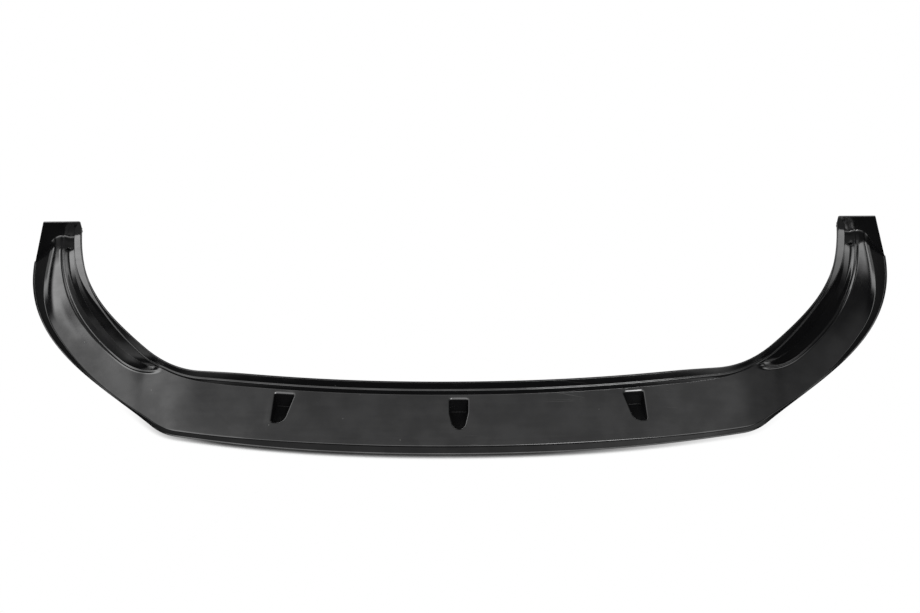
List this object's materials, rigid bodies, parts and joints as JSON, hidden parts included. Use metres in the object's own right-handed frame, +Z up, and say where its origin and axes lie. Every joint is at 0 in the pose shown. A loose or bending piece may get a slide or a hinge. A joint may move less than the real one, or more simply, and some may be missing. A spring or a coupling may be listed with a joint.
{
  "type": "front splitter lip",
  "caption": "U-shaped moulded plastic lip for the lower edge of a car's front bumper, with a sloping blade, blind scoops, recessed arms and upright end flanges.",
  "frame": {"origin": "centre of the bounding box at its bottom, on the plane of mirror symmetry", "axes": "+Z up, -Y toward the front of the car, +X to the right of someone who faces the lip from the front"},
  "size_m": [1.686, 0.515, 0.104],
  "materials": {
    "plastic": "semi-gloss black"
  },
  "bodies": {
    "root": {"splitter_lip": "plastic"}
  },
  "joints": []
}
